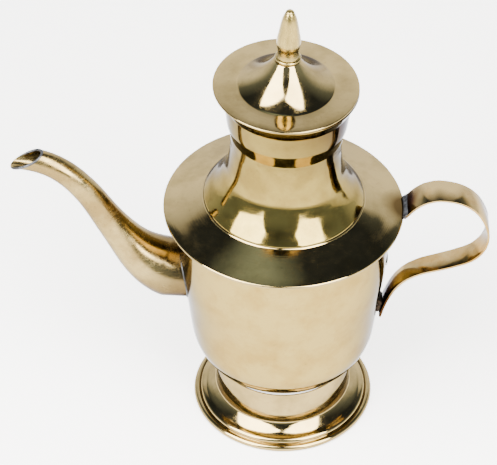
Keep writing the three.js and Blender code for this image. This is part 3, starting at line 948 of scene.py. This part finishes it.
bud_foot = RING_BOTTOM + 2.0
finial_line = (
    [(0, 237.6), (2, 237.6), (2, bud_foot), (5.6, bud_foot), (5.85, bud_foot + 0.35), (5.7, bud_foot + 1.4)]
    + [(5.6, bud_foot + 3), (5.65, 251.7), (5.8, 252.4), (6.1, 253.0)]
    + through(
        [
            (6.3, 254.1), (6.45, 256.1), (6.15, 259), (5.3, 263.8), (4.6, 267.8), (3.75, 271.6),
            (2.5, 274.8),
        ]
    )
    + [(2.1, 275.15), (2.05, 275.4), (2.15, 275.65), (1.7, 276.15), (0.9, 276.4), (0, 276.45)]
)
finial = spun(finial_line, steps=108)
for vert in finial.verts:
    if FLATS_FOOT < vert.co.z < FLATS_TOP:
        sector = math.tau / FILED_FLATS
        turn = math.atan2(vert.co.y, vert.co.x) % sector - sector / 2
        prism = math.cos(sector / 2) / math.cos(turn)
        fade = min((vert.co.z - FLATS_FOOT) / 3, (FLATS_TOP - vert.co.z) / 2, 1)
        pull = 1 + (prism - 1) * FLATNESS * fade
        vert.co.x *= pull
        vert.co.y *= pull
finial.normal_update()
finish(finial, "finial_piece", cast_brass, "lid", finial_frame)

for node in ("finial_washer", "finial_nut"):
    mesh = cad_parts[node].data
    mesh.materials.clear()
    mesh.materials.append(turned_brass)
print("washer and nut keep their packed meshes")

# %% [markdown]
# ## Floor, room and lights
# Polished metal has hardly any colour of its own, so the room is half of the material.
# The pot stands on a bright pale table. Behind it a white backdrop rises and fades out between
# about thirty-five and sixty degrees up, and the flange and the back of the brim mirror it. In
# front the studio is dark, which gives the front of the brim its deep olive. Two upright
# softboxes at the front left and front right give the paired highlights on the dome, the neck
# and the foot.

# %% Make the table
TABLE_GLOW = 2.5
TABLE_RADIUS = 14

table = bmesh.new()
bmesh.ops.create_circle(table, cap_ends=True, radius=TABLE_RADIUS, segments=96)
table_mesh = bpy.data.meshes.new("table")
table.to_mesh(table_mesh)
table.free()
table_object = bpy.data.objects.new("table", table_mesh)
bpy.context.scene.collection.objects.link(table_object)
table_paint = bpy.data.materials.new("lit_white_table")
table_paint.use_nodes = True
paint_tree = table_paint.node_tree
paint_tree.nodes.clear()
paint = add(
    paint_tree,
    "ShaderNodeBsdfPrincipled",
    {
        "Base Color": linear("c6c4c1"), "Roughness": 0.9, "Specular IOR Level": 0.1,
        "Emission Color": linear("fffdf9"), "Emission Strength": TABLE_GLOW,
    },
)
add(paint_tree, "ShaderNodeOutputMaterial", {"Surface": paint.outputs[0]})
table_mesh.materials.append(table_paint)
print("the table glows at", TABLE_GLOW)

# %% [markdown]
# The room is painted on the world by direction: how far round from straight behind, and how
# high. Each range below is where one part fades out, as angles round or as the height of a
# direction, which is 0 level and 1 straight up. A low wall fades out on either side of the
# backdrop, a pale glow lies near the table, and a soft patch of light hangs overhead.

# %% Paint the room
BACKDROP_LIGHT = 4.0
BACKDROP_HALF = math.radians(39)
BACKDROP_FADE = math.radians(24)
BACKDROP_TOP = (0.57, 0.88)
SIDE_WALL = (math.radians(42), math.radians(85))
SIDE_WALL_TOP = (0.25, 0.5)
LOW_GLOW_TOP = (0.3, 0.72)
CEILING_WAY = (-0.1, 0.19, 0.976)
CEILING_REACH = (0.02, 0.27)
DARK_ROOM = (0.07, 0.092, 0.14, 1)
LOW_GLOW = (0.7, 0.85, 1.0, 1)
CEILING_PATCH = (1.3, 1.7, 1.9, 1)

world = bpy.data.worlds.new("studio")
bpy.context.scene.world = world
world.use_nodes = True
room = world.node_tree
room.nodes.clear()
way = add(room, "ShaderNodeTexCoord").outputs["Generated"]
way_parts = add(room, "ShaderNodeSeparateXYZ", {"Vector": way})
height = way_parts.outputs["Z"]
round_angle = add(
    room, "ShaderNodeMath", {0: way_parts.outputs["X"], 1: way_parts.outputs["Y"]}, operation="ARCTAN2"
).outputs[0]
off_middle = add(room, "ShaderNodeMath", {0: round_angle}, operation="ABSOLUTE").outputs[0]
behind = between(room, off_middle, BACKDROP_HALF - 0.02, BACKDROP_HALF + 0.02, 1.0, 0.0)
fading = between(room, off_middle, BACKDROP_FADE, BACKDROP_HALF, 1.0, 0.45)
low = between(room, height, *BACKDROP_TOP, 1.0, 0.0)
backdrop = add(room, "ShaderNodeMath", {0: behind, 1: low}, operation="MULTIPLY").outputs[0]
backdrop = add(room, "ShaderNodeMath", {0: backdrop, 1: fading}, operation="MULTIPLY").outputs[0]
beside = between(room, off_middle, *SIDE_WALL, 1.0, 0.0)
wall_foot = between(room, height, *SIDE_WALL_TOP, 0.8, 0.0)
side_wall = add(room, "ShaderNodeMath", {0: beside, 1: wall_foot}, operation="MULTIPLY").outputs[0]
backdrop = add(room, "ShaderNodeMath", {0: backdrop, 1: side_wall}, operation="MAXIMUM").outputs[0]
near_table = between(room, height, *LOW_GLOW_TOP, 1.0, 0.0)
unlit = mixed(room, near_table, DARK_ROOM, LOW_GLOW)
patch_far = add(room, "ShaderNodeVectorMath", {0: way, 1: CEILING_WAY}, operation="DISTANCE")
patch = between(room, patch_far.outputs["Value"], *CEILING_REACH, 0.75, 0.0)
unlit = mixed(room, patch, unlit, CEILING_PATCH)
dim = add(room, "ShaderNodeBackground", {"Color": unlit, "Strength": 1.0})
white = add(room, "ShaderNodeBackground", {"Color": linear("f6f8ff"), "Strength": BACKDROP_LIGHT})
whole_room = add(room, "ShaderNodeMixShader", {0: backdrop, 1: dim.outputs[0], 2: white.outputs[0]})
add(room, "ShaderNodeOutputWorld", {"Surface": whole_room.outputs[0]})
print("the room has", len(room.nodes), "nodes")

# %% [markdown]
# Softboxes are area lights. A light's power spreads over its area, so the power is worked out
# from the brightness and the area, and a softbox can be resized without changing its brightness.

# %% Hang the two softboxes
SOFTBOX_GLOW = 34.0       # radiance of the fabric, in watts per square metre and steradian
SOFTBOX_DISTANCE = 1.3
LIT_HEIGHT = 0.12         # the height on the pot's axis that both boxes face


def softbox(name, azimuth, elevation, width, tall):
    """An upright softbox facing the pot; all in degrees, azimuth to the right of the front."""
    turn, rise = math.radians(azimuth), math.radians(elevation)
    way = Vector((math.sin(turn) * math.cos(rise), -math.cos(turn) * math.cos(rise), math.sin(rise)))
    data = bpy.data.lights.new(name, "AREA")
    data.shape = "RECTANGLE"
    data.size = 2 * SOFTBOX_DISTANCE * math.tan(math.radians(width / 2))
    data.size_y = 2 * SOFTBOX_DISTANCE * math.tan(math.radians(tall / 2))
    data.energy = SOFTBOX_GLOW * math.pi * data.size * data.size_y
    box = bpy.data.objects.new(name, data)
    middle = Vector((AXIS_X, 0, LIT_HEIGHT))
    facing = way.to_track_quat("Z", "Y").to_matrix().to_4x4()
    box.matrix_world = Matrix.Translation(middle + way * SOFTBOX_DISTANCE) @ facing
    box.visible_camera = False
    bpy.context.scene.collection.objects.link(box)
    print(name, round(data.size, 2), "by", round(data.size_y, 2), "m")
    return box


softbox("softbox_left", -50, 42, 40, 58)
softbox("softbox_right", 40, 42, 32, 60)
